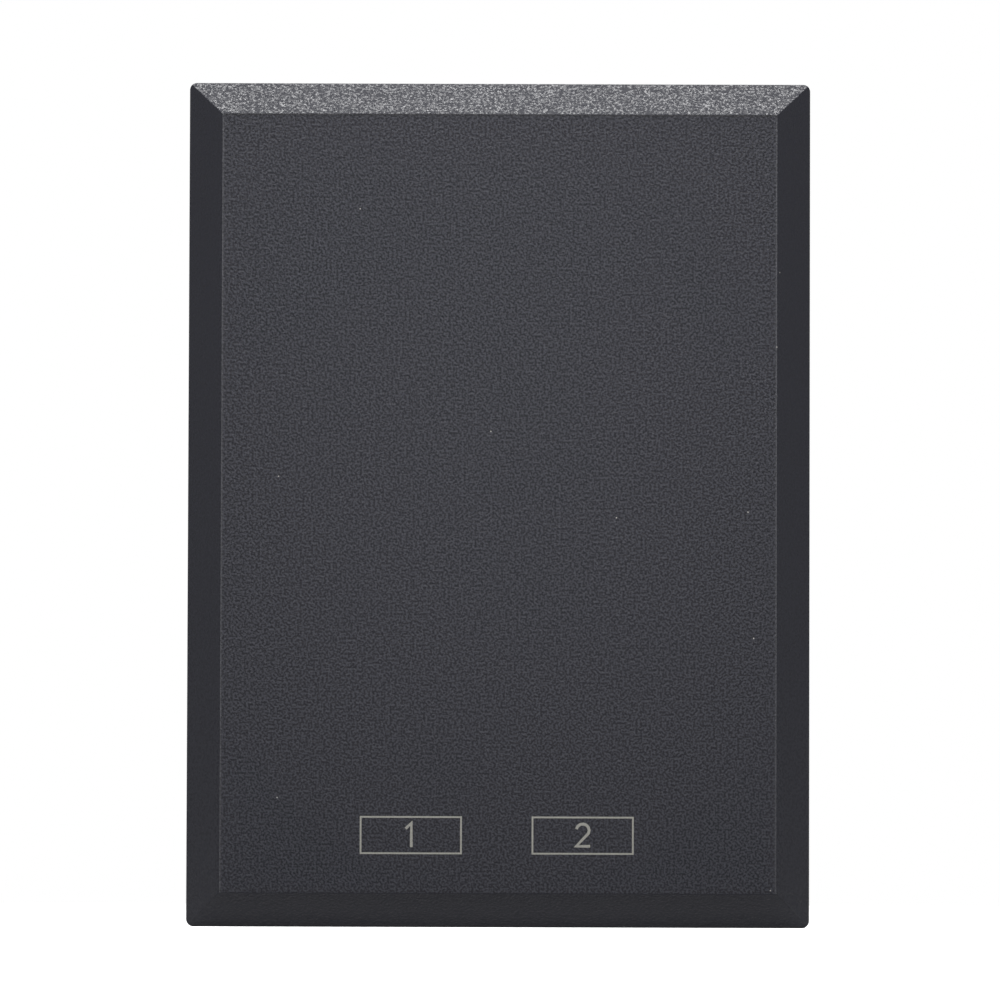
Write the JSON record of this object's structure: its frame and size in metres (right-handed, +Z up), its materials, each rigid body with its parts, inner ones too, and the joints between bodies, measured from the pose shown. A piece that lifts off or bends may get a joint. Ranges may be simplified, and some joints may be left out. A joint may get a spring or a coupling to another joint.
{
  "type": "garage door controller",
  "caption": "Flat bevelled snap-fit case with push-in wire terminals in its bottom edge, a supply socket in its top edge and a press button on its front.",
  "frame": {"origin": "centre of the flat back face", "axes": "+Z up along the long side to the supply socket's edge, +Y out of the back face, the front face with its button faces -Y"},
  "size_m": [0.06, 0.022, 0.0816],
  "materials": {
    "case_plastic": "fine spark-eroded grain",
    "button_plastic": "satin",
    "board_laminate": "green solder resist over glass laminate",
    "screw_steel": "zinc plated",
    "clear_plastic": "clear moulded light guide",
    "light_body": "diffusing",
    "plated_steel": "bright plated sheet",
    "black_plastic": "moulded",
    "gold_contact": "gold flash",
    "tinned_lead": "tin plated",
    "relay_plastic": "moulded, smooth",
    "relay_iron": "nickel plated iron",
    "bobbin_plastic": "natural moulded",
    "copper_wire": "enamelled winding",
    "spring_metal": "rolled spring strip",
    "silver_contact": "silver alloy",
    "radio_laminate": "black solder resist",
    "chip_plastic": "moulded compound",
    "capacitor_aluminium": "drawn can",
    "resistor_ceramic": "glazed",
    "capacitor_ceramic": "unglazed",
    "terminal_plastic": "moulded",
    "release_plastic": "moulded"
  },
  "bodies": {
    "controller": {"back_cover": "case_plastic", "front_cover": "case_plastic", "circuit_board": "board_laminate", "board_screws": "screw_steel", "light_guide": "clear_plastic", "status_light": "light_body", "sensor_terminal_body": "terminal_plastic", "sensor_terminal_contacts": "tinned_lead", "sensor_clamp_spring_left": "spring_metal", "sensor_clamp_spring_right": "spring_metal", "relay_terminal_body": "terminal_plastic", "relay_terminal_contacts": "tinned_lead", "relay_clamp_spring_left": "spring_metal", "relay_clamp_spring_right": "spring_metal", "supply_socket_shell": "plated_steel", "supply_socket_insulator": "black_plastic", "supply_socket_contacts": "gold_contact", "switch_base": "black_plastic", "switch_cover": "plated_steel", "switch_dome": "plated_steel", "switch_leads": "tinned_lead", "relay_base": "relay_plastic", "relay_cover": "relay_plastic", "relay_yoke": "relay_iron", "relay_core": "relay_iron", "relay_bobbin": "bobbin_plastic", "relay_winding": "copper_wire", "relay_coil_pins": "tinned_lead", "relay_return_spring": "spring_metal", "relay_open_contact": "silver_contact", "relay_closed_contact": "silver_contact", "radio_board": "radio_laminate", "radio_shield": "plated_steel", "radio_chip": "chip_plastic", "radio_crystal": "plated_steel", "capacitor_base": "black_plastic", "capacitor_can": "capacitor_aluminium", "regulator_body": "chip_plastic", "regulator_leads": "tinned_lead", "optocoupler_body": "chip_plastic", "optocoupler_leads": "tinned_lead", "transistor_body": "chip_plastic", "transistor_leads": "tinned_lead", "diode_body": "chip_plastic", "diode_leads": "tinned_lead", "chip_resistors": "resistor_ceramic", "chip_capacitors": "capacitor_ceramic", "chip_ends": "tinned_lead"},
    "pairing_button": {"pairing_button": "button_plastic"},
    "switch_plunger": {"switch_plunger": "black_plastic"},
    "relay_armature": {"relay_armature": "relay_iron", "relay_blade": "spring_metal", "relay_moving_contact": "silver_contact"},
    "sensor_release_left": {"sensor_release_button_left": "release_plastic"},
    "sensor_release_right": {"sensor_release_button_right": "release_plastic"},
    "relay_release_left": {"relay_release_button_left": "release_plastic"},
    "relay_release_right": {"relay_release_button_right": "release_plastic"}
  },
  "joints": [
    {"name": "pairing_press", "type": "slide", "parent": "controller", "child": "pairing_button", "axis": [0, 1, 0], "range_m": [0, 0.00025], "stiffness_N_per_m": 400},
    {"name": "plunger_press", "type": "slide", "parent": "controller", "child": "switch_plunger", "axis": [0, 1, 0], "range_m": [0, 0.0003], "deforming": ["switch_dome"]},
    {"name": "armature_swing", "type": "hinge", "parent": "controller", "child": "relay_armature", "pos_m": [-0.015, -0.01575, -0.01985], "axis": [-1, 0, 0], "range_deg": [0, 3.78], "stiffness_Nm_per_rad": 0.002, "deforming": ["relay_return_spring"]},
    {"name": "sensor_release_left_press", "type": "slide", "parent": "controller", "child": "sensor_release_left", "axis": [0, 0, 1], "range_m": [0, 0.0012], "stiffness_N_per_m": 300, "deforming": ["sensor_clamp_spring_left"]},
    {"name": "sensor_release_right_press", "type": "slide", "parent": "controller", "child": "sensor_release_right", "axis": [0, 0, 1], "range_m": [0, 0.0012], "stiffness_N_per_m": 300, "deforming": ["sensor_clamp_spring_right"]},
    {"name": "relay_release_left_press", "type": "slide", "parent": "controller", "child": "relay_release_left", "axis": [0, 0, 1], "range_m": [0, 0.0012], "stiffness_N_per_m": 300, "deforming": ["relay_clamp_spring_left"]},
    {"name": "relay_release_right_press", "type": "slide", "parent": "controller", "child": "relay_release_right", "axis": [0, 0, 1], "range_m": [0, 0.0012], "stiffness_N_per_m": 300, "deforming": ["relay_clamp_spring_right"]}
  ],
  "couplings": [
    {"joint": "plunger_press", "follows": "pairing_press", "ratio": 1}
  ]
}
